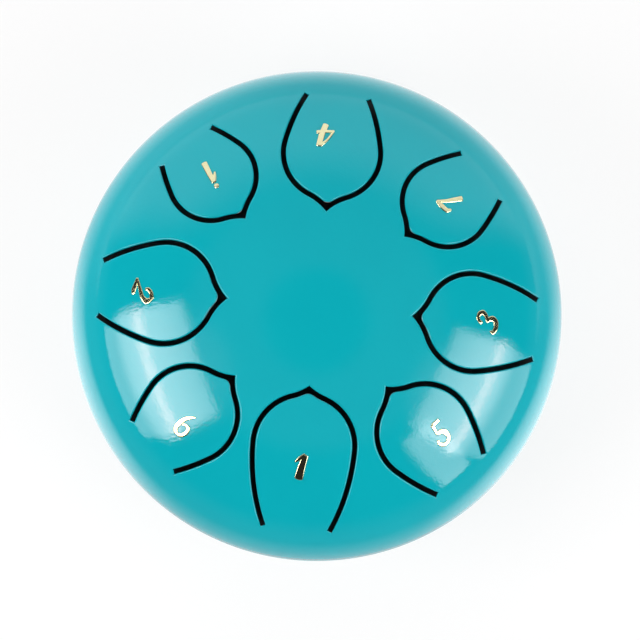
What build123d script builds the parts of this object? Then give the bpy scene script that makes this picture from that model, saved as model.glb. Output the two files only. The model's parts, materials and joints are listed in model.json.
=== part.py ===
from build123d import *
import os
from math import acos, atan2, degrees, hypot, sqrt

# A steel tongue drum: two dished steel shells welded together at the rim, eight tongues cut in the
# upper shell, a foil numeral stuck on each tongue and push-in rubber feet under the lower shell.
# Millimetres, +Z up. The origin is on the ground under the drum's axis. The longest tongue is at
# the front, which is -Y. Tongue plans are drawn along +X, then turned to their places.

# Shells: both halves have the same dished form
RIM_RADIUS = 76.0           # outside, at the seam
DOME_HEIGHT = 40.0          # seam to the top of the crown
KNUCKLE_RADIUS = 30.0       # outside turn between the crown and the rim
WALL = 1.5                  # sheet thickness
SOUND_HOLE_RADIUS = 20.0    # port in the middle of the lower shell
WELD_DEPTH = 0.8            # groove of the seam, in from the rim
WELD_HALF_HEIGHT = 0.7      # groove of the seam, above and below it
WELD_CROWN = 0.15           # how far the bead stands proud of the rim
CUT_OVERRUN = 2.0           # every cutting tool passes its work by this

# Tongues: sizes of the longest one, measured in plan
CLEAR_CROWN_RADIUS = 23.1   # drum axis to the point of the slot
ROOT_INSET = 10.4           # rim to the slot's ends
ROOT_HALF_WIDTH = 10.0      # slot's centre line at its ends
HEAD_SHARE = 0.241          # round head to the slot's outer edge, as a share of the ring of slot ends
SPIKE_LENGTH = 2.6          # point of the slot to the round head
OGEE_RADIUS = 16.5          # hollow flank between the point and the head
SIDE_RADIUS = 63.0          # slow curve of the long sides
TIP_ROUND = 2.5             # the tongue's own rounded tip
SLOT_WIDTH = 1.5
ROOT_GAP = 0.05             # running gap of the rounded root

# Numerals: raised foil stickers
NUMERAL_HEIGHT = 7.7
FOIL_THICKNESS = 0.3
GLUE_THICKNESS = 0.02
OCTAVE_DOT_RADIUS = 0.78

# Feet
FOOT_CIRCLE_RADIUS = 38.0   # drum axis to foot axis
GROUND_CLEARANCE = 2.5      # ground to the lowest point of the lower shell
FOOT_RADIUS = 7.0           # on the ground
FOOT_FLARE = 1.0            # how much wider the pad is inside the shell's height
FOOT_EDGE_ROUND = 1.0
FOOT_HOLE_RADIUS = 3.0
SHANK_CLEARANCE = 0.05
BARB_RADIUS = 4.2
BARB_TIP_RADIUS = 2.4
BARB_HEIGHT = 5.0           # above the inside of the shell
SEAT_GAP = 0.05             # foot to shell

# Each tongue: the plan direction of its axis as a share of a full turn, then its sizes as shares of
# the longest one's, in the order length, head radius, spike length, root inset and root width. The
# longer the tongue, the lower its note.
TONGUE_SHARES = {
    "1": (-0.25, 1.0, 1.0, 0.72, 1.0, 1.0),
    "2": (0.49806, 0.917, 1.005, 1.19, 1.01, 0.83),
    "3": (0.00139, 0.887, 0.966, 1.15, 0.97, 0.89),
    "4": (0.24944, 0.858, 0.966, 1.13, 1.04, 0.94),
    "5": (-0.12056, 0.811, 0.956, 1.06, 1.03, 0.93),
    "6": (-0.37472, 0.767, 0.953, 1.05, 1.175, 0.98),
    "7": (0.12417, 0.714, 0.888, 0.94, 1.17, 0.92),
    "high_1": (0.37167, 0.688, 0.885, 0.9, 1.23, 0.945),
}

# Each numeral's place: how far along its tongue it lies, as a share of the tongue's length, how far
# to the side, as a share of its head radius, and how far the sticker is turned, as a share of a turn.
NUMERAL_PLACE_SHARES = {
    "1": (0.564, -0.025, -0.0022),
    "2": (0.662, 0.004, -0.0092),
    "3": (0.602, 0.026, 0.0108),
    "4": (0.643, 0.156, 0.0078),
    "5": (0.609, 0.217, 0.0169),
    "6": (0.658, 0.116, -0.0019),
    "7": (0.564, -0.06, 0.0047),
    "high_1": (0.598, -0.009, -0.0061),
}

# Brush strokes of each numeral: points along the stroke's middle and the half width there, all as
# shares of the numeral's height.
STROKE_SHARES = {
    "1": (
        ((-0.215, 0.176, 0.036), (-0.049, 0.332, 0.075), (0.127, 0.449, 0.093)),
        ((0.15, 0.443, 0.105), (0.043, 0.009, 0.14), (-0.024, -0.443, 0.165)),
    ),
    "2": (
        ((-0.083, 0.136, 0.06), (-0.09, 0.24, 0.08), (0.05, 0.375, 0.082), (0.247, 0.41, 0.085),
         (0.375, 0.24, 0.125), (0.235, 0.047, 0.088), (-0.03, -0.079, 0.07), (-0.281, -0.194, 0.055),
         (-0.456, -0.272, 0.045)),
        ((-0.456, -0.275, 0.045), (-0.2, -0.306, 0.078), (0.015, -0.345, 0.088), (0.17, -0.33, 0.06)),
    ),
    "3": (
        ((-0.035, 0.234, 0.072), (0.045, 0.328, 0.068), (0.188, 0.372, 0.066), (0.329, 0.305, 0.09),
         (0.37, 0.195, 0.105), (0.283, 0.086, 0.085), (0.12, 0.02, 0.06), (0.01, 0.011, 0.045)),
        ((-0.003, 0.023, 0.045), (0.106, -0.055, 0.09), (0.143, -0.195, 0.115), (0.038, -0.32, 0.1),
         (-0.143, -0.344, 0.09), (-0.314, -0.289, 0.085), (-0.4, -0.211, 0.08), (-0.343, -0.125, 0.05)),
    ),
    "4": (
        ((0.254, 0.439, 0.102), (0.156, 0.0, 0.118), (0.015, -0.43, 0.115)),
        ((0.195, 0.427, 0.07), (-0.026, 0.236, 0.052), (-0.164, 0.057, 0.048), (-0.291, -0.165, 0.052)),
        ((-0.31, -0.16, 0.06), (0.0, -0.15, 0.066), (0.34, -0.11, 0.08)),
    ),
    "5": (
        ((0.026, 0.416, 0.078), (0.182, 0.404, 0.075), (0.328, 0.393, 0.068)),
        ((0.0, 0.415, 0.078), (-0.062, 0.215, 0.062), (-0.108, 0.05, 0.058)),
        ((-0.113, 0.051, 0.058), (0.053, 0.016, 0.098), (0.158, -0.119, 0.115), (0.131, -0.326, 0.078),
         (0.004, -0.435, 0.07), (-0.164, -0.444, 0.076), (-0.285, -0.346, 0.078), (-0.315, -0.225, 0.07),
         (-0.259, -0.151, 0.048)),
    ),
    "6": (
        ((0.009, 0.565, 0.03), (-0.098, 0.426, 0.066), (-0.201, 0.228, 0.086), (-0.227, -0.034, 0.1),
         (-0.179, -0.276, 0.09), (-0.032, -0.4, 0.075)),
        ((-0.04, -0.39, 0.06), (0.11, -0.354, 0.08), (0.208, -0.234, 0.082), (0.224, -0.045, 0.083),
         (0.12, 0.092, 0.075), (-0.026, 0.082, 0.055), (-0.116, -0.005, 0.04)),
    ),
    "7": (
        ((-0.204, 0.12, 0.05), (-0.125, 0.257, 0.09), (0.127, 0.303, 0.097), (0.345, 0.306, 0.075),
         (0.415, 0.317, 0.05)),
        ((0.4, 0.308, 0.05), (0.178, 0.03, 0.072), (0.015, -0.242, 0.094), (-0.14, -0.51, 0.105)),
    ),
    "high_1": (
        ((-0.2, 0.039, 0.034), (-0.082, 0.195, 0.068), (0.046, 0.351, 0.08)),
        ((0.068, 0.361, 0.088), (0.01, -0.049, 0.107), (-0.072, -0.505, 0.118)),
    ),
}
STROKE_END_SHARE = 0.6          # how round a stroke's ends are, as a share of the half width
OCTAVE_DOT_SHARES = (0.073, 0.541)

# Feet, evenly round the drum from the front
FOOT_NAMES = ("foot_front", "foot_back_right", "foot_back_left")
FRONT_TURN_SHARE = -0.25

# The dome's arcs, in the half plane of radius and height above the seam
CROWN_RADIUS = (DOME_HEIGHT**2 - KNUCKLE_RADIUS**2 + (RIM_RADIUS - KNUCKLE_RADIUS)**2) / (
    2 * (DOME_HEIGHT - KNUCKLE_RADIUS)
)
CROWN_CENTRE_Z = DOME_HEIGHT - CROWN_RADIUS
KNUCKLE_CENTRE_R = RIM_RADIUS - KNUCKLE_RADIUS
TANGENT_ANGLE = degrees(atan2(-CROWN_CENTRE_Z, KNUCKLE_CENTRE_R))
SEAM_HEIGHT = GROUND_CLEARANCE + DOME_HEIGHT
FULL_TURN = 360
ROOT_RING_RADIUS = RIM_RADIUS - ROOT_INSET
TONGUE_LENGTH = ROOT_RING_RADIUS - CLEAR_CROWN_RADIUS
HEAD_RADIUS = ROOT_RING_RADIUS * HEAD_SHARE
ROOT_ROUND = WALL
ROOT_SETBACK = ROOT_ROUND + SLOT_WIDTH / 2
UPWARDS = (Align.CENTER, Align.CENTER, Align.MIN)


def dome_arcs(offset, first_angle=90.0):
    """Crown and knuckle arcs of the dome's outside moved out by offset, from first_angle down to the seam."""
    crown = CenterArc(
        (0, CROWN_CENTRE_Z), CROWN_RADIUS + offset, TANGENT_ANGLE, first_angle - TANGENT_ANGLE
    )
    knuckle = CenterArc((KNUCKLE_CENTRE_R, 0), KNUCKLE_RADIUS + offset, 0, TANGENT_ANGLE)
    return crown, knuckle


def turned(edges):
    """Solid of revolution about Z of a closed outline in radius and height."""
    return revolve(Plane.XZ * make_face(edges), Axis.Z)


def dome_layer(inside, outside):
    """Closed upper dome between two offsets of its outside, open at the seam."""
    inner = dome_arcs(inside)
    outer = dome_arcs(outside)
    crown = Line(inner[0] @ 1, outer[0] @ 1)
    land = Line(inner[1] @ 0, outer[1] @ 0)
    return turned([*inner, *outer, crown, land])


def dome_core(offset):
    """Everything under the dome's outside moved out by offset, down to the seam."""
    arcs = dome_arcs(offset)
    axis = Line((0, 0), arcs[0] @ 1)
    floor = Line((0, 0), arcs[1] @ 0)
    return turned([*arcs, axis, floor])


def wall_height(radius):
    """Height of the middle of the wall above the seam, at a plan radius."""
    crown = CROWN_RADIUS - WALL / 2
    knuckle = KNUCKLE_RADIUS - WALL / 2
    if degrees(acos(radius / crown)) > TANGENT_ANGLE:
        return CROWN_CENTRE_Z + sqrt(crown**2 - radius**2)
    return sqrt(knuckle**2 - (radius - KNUCKLE_CENTRE_R)**2)


def circles_meet(centre_a, radius_a, centre_b, radius_b, side):
    """Where two circles meet, on the left (+1) or right (-1) of the line from a to b."""
    span = centre_b - centre_a
    along = (radius_a**2 - radius_b**2 + span.length**2) / (2 * span.length)
    across = sqrt(radius_a**2 - along**2)
    direction = span.normalized()
    return centre_a + direction * along + Vector(-direction.Y, direction.X) * (side * across)


def on_circle(centre, radius, towards):
    """Point of a circle in the direction of another point."""
    return centre + (towards - centre).normalized() * radius


def arc_about(centre, radius, start, end):
    """Short arc of a circle between two of its points."""
    return ThreePointArc(start, on_circle(centre, radius, (start + end) / 2), end)


class TonguePlan:
    """Plan of one tongue and its slot, along +X from the drum's axis, built of tangent arcs."""

    def __init__(self, name):
        turn, length, head, spike, inset, width = TONGUE_SHARES[name]
        self.angle = FULL_TURN * turn
        self.length = TONGUE_LENGTH * length
        self.head_radius = HEAD_RADIUS * head
        self.root = RIM_RADIUS - ROOT_INSET * inset
        self.tip = self.root - self.length
        self.slot_end = Vector(self.root, ROOT_HALF_WIDTH * width)
        tip = Vector(self.tip, 0)
        self.head = Vector(self.tip + SPIKE_LENGTH * spike + self.head_radius, 0)
        self.ogee = circles_meet(tip, OGEE_RADIUS, self.head, self.head_radius + OGEE_RADIUS, 1)
        self.side = circles_meet(
            self.head, SIDE_RADIUS - self.head_radius, self.slot_end, SIDE_RADIUS - SLOT_WIDTH / 2, -1
        )
        self.hinge = Vector(self.root - ROOT_SETBACK, 0)
        self.hinge_z = wall_height(hypot(self.hinge.X, self.slot_end.Y / 2))

    def flank(self, inset, tip_round=0.0):
        """Edges of one side, from the tip to the slot's end, moved in from the slot's outer edge."""
        ogee_radius = OGEE_RADIUS + inset
        head_radius = self.head_radius - inset
        side_radius = SIDE_RADIUS - inset
        reach = sqrt((ogee_radius + tip_round)**2 - self.ogee.Y**2)
        tip_centre = Vector(self.ogee.X + reach, 0)
        start = on_circle(self.ogee, ogee_radius, tip_centre)
        shoulder = on_circle(self.head, head_radius, self.ogee)
        cheek = self.head + (self.head - self.side).normalized() * head_radius
        end = on_circle(self.side, side_radius, self.slot_end)
        edges = [
            arc_about(self.ogee, ogee_radius, start, shoulder),
            arc_about(self.head, head_radius, shoulder, cheek),
            arc_about(self.side, side_radius, cheek, end),
        ]
        if tip_round:
            nose = Vector(tip_centre.X - tip_round, 0)
            edges.insert(0, arc_about(tip_centre, tip_round, nose, start))
        return edges

    def outline(self, inset, tip_round=0.0):
        """Closed plan inside the flanks, squared off at the slot's ends."""
        flank = self.flank(inset, tip_round)
        other = [edge.mirror(Plane.XZ) for edge in flank]
        return make_face([*flank, Line(flank[-1] @ 1, other[-1] @ 1), *other])

    def slot(self):
        """Plan of the slot: a band of even width with square ends."""
        outer = self.flank(0)
        inner = self.flank(SLOT_WIDTH, TIP_ROUND)
        half = [*outer, Line(outer[-1] @ 1, inner[-1] @ 1), *inner]
        return make_face(half + [edge.mirror(Plane.XZ) for edge in half])

    def inside_root(self, root_round):
        """Everything on the tip's side of the root, whose end is rounded about the flexing line."""
        behind = Pos(self.hinge.X - RIM_RADIUS / 2, self.hinge_z) * Rectangle(RIM_RADIUS, RIM_RADIUS)
        end = Pos(self.hinge.X, self.hinge_z) * Circle(root_round)
        return extrude(Plane.XZ * (behind + end), amount=RIM_RADIUS, both=True)

    def place(self):
        """Turn from the drawing's +X to the tongue's place."""
        return Rot(0, 0, self.angle)


def raised(plan):
    """A plan carried up from the seam past the top of the dome."""
    return extrude(plan, amount=DOME_HEIGHT + CUT_OVERRUN)


def seam_weld():
    """Bead that fills the groove between the shells."""
    groove_r = KNUCKLE_CENTRE_R + sqrt(KNUCKLE_RADIUS**2 - WELD_HALF_HEIGHT**2)
    top = (groove_r, WELD_HALF_HEIGHT)
    bottom = (groove_r, -WELD_HALF_HEIGHT)
    root = (RIM_RADIUS - WELD_DEPTH, 0)
    face = ThreePointArc(bottom, (RIM_RADIUS + WELD_CROWN, 0), top)
    return turned([face, Line(top, root), Line(root, bottom)])


def upper_shell(plans):
    """Dome with a slot round every tongue and an opening up to the tongue's rounded root."""
    shell = dome_layer(-WALL, 0) - seam_weld()
    for plan in plans:
        opening = raised(plan.outline(SLOT_WIDTH / 2)) & plan.inside_root(ROOT_ROUND + ROOT_GAP)
        shell -= plan.place() * raised(plan.slot())
        shell -= plan.place() * opening
    return shell


def tongue(plan):
    """The piece of the dome inside one slot, up to its rounded root."""
    blank = raised(plan.outline(SLOT_WIDTH, TIP_ROUND)) & plan.inside_root(ROOT_ROUND)
    return dome_layer(-WALL, 0) & (plan.place() * blank)


def foot_places():
    """Foot axes in plan."""
    turns = [FRONT_TURN_SHARE + index / len(FOOT_NAMES) for index in range(len(FOOT_NAMES))]
    return [Rot(0, 0, FULL_TURN * turn) * Pos(FOOT_CIRCLE_RADIUS, 0) for turn in turns]


def lower_shell():
    """Dish with a half-round edge on its sound hole and a hole for each foot."""
    middle = CROWN_RADIUS - WALL / 2
    edge_angle = degrees(acos((SOUND_HOLE_RADIUS + WALL / 2) / middle))
    inner = dome_arcs(-WALL, edge_angle)
    outer = dome_arcs(0, edge_angle)
    edge_middle = ((inner[0] @ 1) + (outer[0] @ 1)) / 2
    towards_axis = (outer[0] % 1) * (WALL / 2)
    hole_edge = ThreePointArc(inner[0] @ 1, edge_middle + towards_axis, outer[0] @ 1)
    land = Line(inner[1] @ 0, outer[1] @ 0)
    dish = turned([*inner, *outer, hole_edge, land]).mirror(Plane.XY) - seam_weld()
    drill = extrude(Circle(FOOT_HOLE_RADIUS), amount=-DOME_HEIGHT - CUT_OVERRUN)
    for place in foot_places():
        dish -= place * drill
    return dish


def foot(place):
    """Rubber foot: a pad shaped to the shell, a shank through its hole and a barb that holds it inside."""
    ground = -SEAM_HEIGHT
    inside = -(CROWN_CENTRE_Z + sqrt((CROWN_RADIUS - WALL)**2 - FOOT_CIRCLE_RADIUS**2))
    height = inside - ground
    pad = Cone(FOOT_RADIUS, FOOT_RADIUS + FOOT_FLARE, height, align=UPWARDS)
    pad = Pos(0, 0, ground) * fillet(pad.edges().sort_by(Axis.Z)[0], FOOT_EDGE_ROUND)
    shank = Cylinder(FOOT_HOLE_RADIUS - SHANK_CLEARANCE, height, align=UPWARDS)
    shank = Pos(0, 0, ground + FOOT_EDGE_ROUND) * shank
    skirt = BARB_RADIUS     # the dish falls by less than this across the barb
    barb = Pos(0, 0, inside - skirt) * Cylinder(BARB_RADIUS, skirt, align=UPWARDS)
    barb += Pos(0, 0, inside) * Cone(BARB_RADIUS, BARB_TIP_RADIUS, BARB_HEIGHT, align=UPWARDS)
    outside_shell = place * pad - dome_core(SEAT_GAP).mirror(Plane.XY)
    inside_shell = place * barb & dome_core(-WALL - SEAT_GAP).mirror(Plane.XY)
    return outside_shell + place * shank + inside_shell


def stroke(points):
    """One brush stroke: a ribbon between two smooth edges, with bowed ends."""
    middles = [Vector(x, y) * NUMERAL_HEIGHT for x, y, _ in points]
    halves = [half * NUMERAL_HEIGHT for _, _, half in points]
    ahead = middles[1:] + middles[-1:]
    behind = middles[:1] + middles[:-1]
    runs = [(b - a).normalized() for a, b in zip(behind, ahead)]
    sides = [Vector(-run.Y, run.X) * half for run, half in zip(runs, halves)]
    left = [middle + side for middle, side in zip(middles, sides)]
    right = [middle - side for middle, side in zip(middles, sides)]
    first = middles[0] - runs[0] * (halves[0] * STROKE_END_SHARE)
    last = middles[-1] + runs[-1] * (halves[-1] * STROKE_END_SHARE)
    return make_face([
        Spline(*left),
        ThreePointArc(left[-1], last, right[-1]),
        Spline(*right),
        ThreePointArc(right[0], first, left[0]),
    ])


def numeral_place(name, plan):
    """Where a numeral's drawing lies on its tongue, with its top towards the drum's axis."""
    along, aside, turn = NUMERAL_PLACE_SHARES[name]
    spot = Pos(plan.tip + plan.length * along, plan.head_radius * aside)
    return plan.place() * spot * Rot(0, 0, 90 + FULL_TURN * turn)


def foil(drawing):
    """A plan drawing cut out of the foil that follows the dome."""
    return raised(drawing) & dome_layer(GLUE_THICKNESS, GLUE_THICKNESS + FOIL_THICKNESS)


def numeral(name, plan):
    """All strokes of one numeral, as one piece of foil."""
    drawing = Sketch() + [stroke(points) for points in STROKE_SHARES[name]]
    return foil(numeral_place(name, plan) * drawing)


def octave_dot(plan):
    """Dot over the octave's 1."""
    x, y = (share * NUMERAL_HEIGHT for share in OCTAVE_DOT_SHARES)
    return foil(numeral_place("high_1", plan) * Pos(x, y) * Circle(OCTAVE_DOT_RADIUS))


def main():
    """Make every piece about the seam, lift it to stand on the ground and write it."""
    plans = {name: TonguePlan(name) for name in TONGUE_SHARES}
    nodes = {
        "upper_shell": upper_shell(plans.values()),
        "lower_shell": lower_shell(),
        "seam_weld": seam_weld(),
        "octave_dot": octave_dot(plans["high_1"]),
    }
    for name, plan in plans.items():
        nodes[f"tongue_{name}"] = tongue(plan)
        nodes[f"numeral_{name}"] = numeral(name, plan)
    for name, place in zip(FOOT_NAMES, foot_places()):
        nodes[name] = foot(place)
    os.makedirs("parts", exist_ok=True)
    for name, solid in nodes.items():
        export_step(Pos(0, 0, SEAM_HEIGHT) * solid, f"parts/{name}.step")


if __name__ == "__main__":
    main()
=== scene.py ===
import json
from math import acos, asin, atan2, cos, hypot, pi, radians, sin, sqrt

import bpy
from bpy.props import FloatProperty, FloatVectorProperty, PointerProperty
from mathutils import Matrix, Vector

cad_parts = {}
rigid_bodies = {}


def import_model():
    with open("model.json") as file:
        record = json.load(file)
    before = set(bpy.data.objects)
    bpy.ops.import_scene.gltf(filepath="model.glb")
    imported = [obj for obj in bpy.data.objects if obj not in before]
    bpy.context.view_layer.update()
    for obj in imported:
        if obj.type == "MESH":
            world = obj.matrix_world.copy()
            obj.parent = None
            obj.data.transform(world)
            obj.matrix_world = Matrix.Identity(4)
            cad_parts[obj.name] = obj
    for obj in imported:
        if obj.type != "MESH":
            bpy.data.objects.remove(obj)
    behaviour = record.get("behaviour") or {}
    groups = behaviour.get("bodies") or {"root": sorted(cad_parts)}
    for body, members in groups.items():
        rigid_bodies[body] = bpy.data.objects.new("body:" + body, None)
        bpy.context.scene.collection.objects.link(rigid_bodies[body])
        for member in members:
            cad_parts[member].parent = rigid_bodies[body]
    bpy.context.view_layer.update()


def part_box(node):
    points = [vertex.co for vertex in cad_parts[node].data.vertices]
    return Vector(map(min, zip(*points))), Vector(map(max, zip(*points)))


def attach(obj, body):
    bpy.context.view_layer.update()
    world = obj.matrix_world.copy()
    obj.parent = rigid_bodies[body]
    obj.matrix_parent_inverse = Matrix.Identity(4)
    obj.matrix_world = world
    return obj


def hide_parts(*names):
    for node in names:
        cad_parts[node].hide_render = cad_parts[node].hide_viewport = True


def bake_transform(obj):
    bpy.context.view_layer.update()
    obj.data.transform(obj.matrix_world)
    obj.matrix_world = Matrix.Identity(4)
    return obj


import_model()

bl_info = {
    "name": "Steel tongue drum",
    "version": (1, 0, 0),
    "blender": (4, 5, 0),
    "location": "View3D > Sidebar > Tongue drum",
    "description": "Enamelled steel tongue drum with eight numbered tongues, built piece by piece",
    "category": "Add Mesh",
}

# Metres, +Z up. The drum stands on the floor at the origin, and its longest tongue points to -Y.
MM = 0.001
SIDEWAYS = Vector((0, 1, 0))
UPWARDS = Vector((0, 0, 1))

# Each tongue: the plan direction of its axis as a share of a full turn, then its sizes as shares of
# the longest one's: length, head radius, spike length, root inset and root width.
TONGUE_SHARES = {
    "1": (-0.25, 1.0, 1.0, 0.72, 1.0, 1.0),
    "2": (0.49806, 0.917, 1.005, 1.19, 1.01, 0.83),
    "3": (0.00139, 0.887, 0.966, 1.15, 0.97, 0.89),
    "4": (0.24944, 0.858, 0.966, 1.13, 1.04, 0.94),
    "5": (-0.12056, 0.811, 0.956, 1.06, 1.03, 0.93),
    "6": (-0.37472, 0.767, 0.953, 1.05, 1.175, 0.98),
    "7": (0.12417, 0.714, 0.888, 0.94, 1.17, 0.92),
    "high_1": (0.37167, 0.688, 0.885, 0.9, 1.23, 0.945),
}
# Each numeral's place: how far along its tongue it lies, as a share of the tongue's length, how far
# to the side, as a share of its head radius, and how far the sticker is turned, as a share of a turn.
NUMERAL_PLACE_SHARES = {
    "1": (0.564, -0.025, -0.0022),
    "2": (0.662, 0.004, -0.0092),
    "3": (0.602, 0.026, 0.0108),
    "4": (0.643, 0.156, 0.0078),
    "5": (0.609, 0.217, 0.0169),
    "6": (0.658, 0.116, -0.0019),
    "7": (0.564, -0.06, 0.0047),
    "high_1": (0.598, -0.009, -0.0061),
}

# Brush strokes of each numeral: points along the stroke's middle and the half width there, all as
# shares of the numeral's height.
STROKE_SHARES = {
    "1": (
        ((-0.215, 0.176, 0.036), (-0.049, 0.332, 0.075), (0.127, 0.449, 0.093)),
        ((0.15, 0.443, 0.105), (0.043, 0.009, 0.14), (-0.024, -0.443, 0.165)),
    ),
    "2": (
        ((-0.083, 0.136, 0.06), (-0.09, 0.24, 0.08), (0.05, 0.375, 0.082), (0.247, 0.41, 0.085),
         (0.375, 0.24, 0.125), (0.235, 0.047, 0.088), (-0.03, -0.079, 0.07), (-0.281, -0.194, 0.055),
         (-0.456, -0.272, 0.045)),
        ((-0.456, -0.275, 0.045), (-0.2, -0.306, 0.078), (0.015, -0.345, 0.088), (0.17, -0.33, 0.06)),
    ),
    "3": (
        ((-0.035, 0.234, 0.072), (0.045, 0.328, 0.068), (0.188, 0.372, 0.066), (0.329, 0.305, 0.09),
         (0.37, 0.195, 0.105), (0.283, 0.086, 0.085), (0.12, 0.02, 0.06), (0.01, 0.011, 0.045)),
        ((-0.003, 0.023, 0.045), (0.106, -0.055, 0.09), (0.143, -0.195, 0.115), (0.038, -0.32, 0.1),
         (-0.143, -0.344, 0.09), (-0.314, -0.289, 0.085), (-0.4, -0.211, 0.08), (-0.343, -0.125, 0.05)),
    ),
    "4": (
        ((0.254, 0.439, 0.102), (0.156, 0.0, 0.118), (0.015, -0.43, 0.115)),
        ((0.195, 0.427, 0.07), (-0.026, 0.236, 0.052), (-0.164, 0.057, 0.048), (-0.291, -0.165, 0.052)),
        ((-0.31, -0.16, 0.06), (0.0, -0.15, 0.066), (0.34, -0.11, 0.08)),
    ),
    "5": (
        ((0.026, 0.416, 0.078), (0.182, 0.404, 0.075), (0.328, 0.393, 0.068)),
        ((0.0, 0.415, 0.078), (-0.062, 0.215, 0.062), (-0.108, 0.05, 0.058)),
        ((-0.113, 0.051, 0.058), (0.053, 0.016, 0.098), (0.158, -0.119, 0.115), (0.131, -0.326, 0.078),
         (0.004, -0.435, 0.07), (-0.164, -0.444, 0.076), (-0.285, -0.346, 0.078), (-0.315, -0.225, 0.07),
         (-0.259, -0.151, 0.048)),
    ),
    "6": (
        ((0.009, 0.565, 0.03), (-0.098, 0.426, 0.066), (-0.201, 0.228, 0.086), (-0.227, -0.034, 0.1),
         (-0.179, -0.276, 0.09), (-0.032, -0.4, 0.075)),
        ((-0.04, -0.39, 0.06), (0.11, -0.354, 0.08), (0.208, -0.234, 0.082), (0.224, -0.045, 0.083),
         (0.12, 0.092, 0.075), (-0.026, 0.082, 0.055), (-0.116, -0.005, 0.04)),
    ),
    "7": (
        ((-0.204, 0.12, 0.05), (-0.125, 0.257, 0.09), (0.127, 0.303, 0.097), (0.345, 0.306, 0.075),
         (0.415, 0.317, 0.05)),
        ((0.4, 0.308, 0.05), (0.178, 0.03, 0.072), (0.015, -0.242, 0.094), (-0.14, -0.51, 0.105)),
    ),
    "high_1": (
        ((-0.2, 0.039, 0.034), (-0.082, 0.195, 0.068), (0.046, 0.351, 0.08)),
        ((0.068, 0.361, 0.088), (0.01, -0.049, 0.107), (-0.072, -0.505, 0.118)),
    ),
}
STROKE_END_SHARE = 0.4          # bow of a stroke's ends, as a share of the half width
EDGE_LIMIT_SHARE = 0.6          # an edge's round takes no more than this of a stroke's half width
OCTAVE_DOT_SHARES = (0.073, 0.541)

FEET = ("foot_front", "foot_back_right", "foot_back_left")

# How finely curved faces and outlines are divided
CROWN_STEPS = 48
KNUCKLE_STEPS = 36
INSIDE_CROWN_STEPS = 20
INSIDE_KNUCKLE_STEPS = 16
ROUND_STEPS = 288
HEM_STEPS = 10                  # edge of the sound hole, and crown of the weld bead
PAD_STEPS = 96
PAD_EDGE_STEPS = 8
SHANK_STEPS = 64
DRILL_STEPS = 48
STROKE_STEPS = 6                # between two points of a stroke
STROKE_END_STEPS = 8
EDGE_STEPS = 5                  # round of the foil's edge
DOT_STEPS = 40
BOUNDARY_STEPS = 24             # each arc of a tongue's boundary
FLOOR_STEPS = 96
OUTLINE_PITCH = 0.45 * MM       # along a slot

MERGE_DISTANCE = 0.001 * MM
FLAT_ANGLE = radians(1)         # faces that lie this level with each other become one
STEEL_EDGE_ANGLE = radians(40)  # an edge that turns more than this stays sharp
SMALL_EDGE_ANGLE = radians(35)  # the same on the feet and the foil
SKIN_DEPTH = 0.015 * MM         # a point this near the dome's outside is on it
BLANK_TURN_SHARE = 0.37         # of a facet, so that no edge of the dome lies along a tongue's axis
TOOL_REACH_SHARES = (0.3, 1.2)  # a slot cutter's ends above the seam, as shares of the dome's height
ROOT_REACH = 4                  # faces are cut across a root this many root cuts each side of it

# The rounded edge that enamel leaves along a slot, as shares of its radius: how far it opens the
# slot and how far it lies under the skin. LIP_FLARE then takes the cutter out through the skin.
LIP_SHARES = ((0.0, -1.0), (0.18, -0.43), (0.5, -0.134))
LIP_FLARE = (0.435 * MM, 0.25 * MM)

# Softboxes: azimuth and elevation in degrees, width and height in metres, how far up the tube lies as
# a share of the height, and brightness as a share of the setting. The flap has no tube of its own, so
# its tube lies far off it.
SOFTBOXES = {
    "softbox_left": (203, 34, 0.42, 0.55, 0.667, 1.16),
    "softbox_right": (-20, 27, 0.386, 0.70, 0.713, 1.0),
    "softbox_right_flap": (-42.3, 29, 0.12, 0.5, 3.0, 1.4),
}
SOFTBOX_DISTANCE = 0.7
BLOOM_REACH = 0.24              # tube to the end of its broad bloom
TUBE_REACH = 0.024              # tube to the end of its bright line
BACK_FILL_DISTANCE = 1.2
BACK_FILL = (115, 40, 1.0, 1.0)  # azimuth, elevation, width and height, as for a softbox

# The studio's levels by height, which is the sine of the elevation, under the names of their settings
STUDIO_LEVELS = (
    (0.08, "horizon"), (0.3, "room"), (0.8, "room"), (0.845, "ceiling"), (0.962, "ceiling"),
    (0.978, "room"),
)
# Glows of the studio: azimuth and elevation in degrees, then how near to that direction, as a cosine,
# the glow starts and is full. A halo ends with its share of the setting.
BACK_WALL = (95, 0, 0.3, 0.54)
HALOS = ((205, 50, 0.95, 0.99, 0.65), (-22, 46, 0.96, 0.99, 1.0))
WALL_TOP = (0.62, 0.86, 1.0, 0.0)       # the back wall fades between these heights

# The paper floor. A row holds two places in metres and the level at each. Its white is the share of
# it that shows as plain white and not as lit paper.
FLOOR_RADIUS = 6
FLOOR_GAP = 0.05 * MM                   # feet to floor, so that their faces don't coincide
PAPER_WHITE = (0.14, 0.5, 0.8, 0.32)    # by distance from the drum's axis
PAPER_CLEAR = (0.045, 0.08, 0.0, 1.0)   # that white is held back under the drum
PAPER_BOUNCE = 0.6                      # white in the light that the paper throws on to the drum
PAPER_LIFT = 0.8                        # extra strength of that light
PAPER_TONE = (0.0, 1.0, 0.86, 0.9)      # grey of the lit paper, from one fibre to the next
FIBRE_SIZE = 3                          # millimetres
POOL_NEAR = (-0.12, 0.12, 0.61, 1.15)   # pool of light that gloss shows, front to back, by the drum
POOL_FAR = (0.0, 0.2, 0.2, 0.66)        # and away from it
POOL_REACH = (0.11, 0.25)               # from near to far
SPILL = (0.02, 0.1, 1.1, 0.0)           # bright spot in front of a softbox, by distance from its middle
SPILL_DISTANCE = 0.15                   # drum's axis to the spot
SPILL_AZIMUTHS = (203, -22)             # degrees

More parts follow.
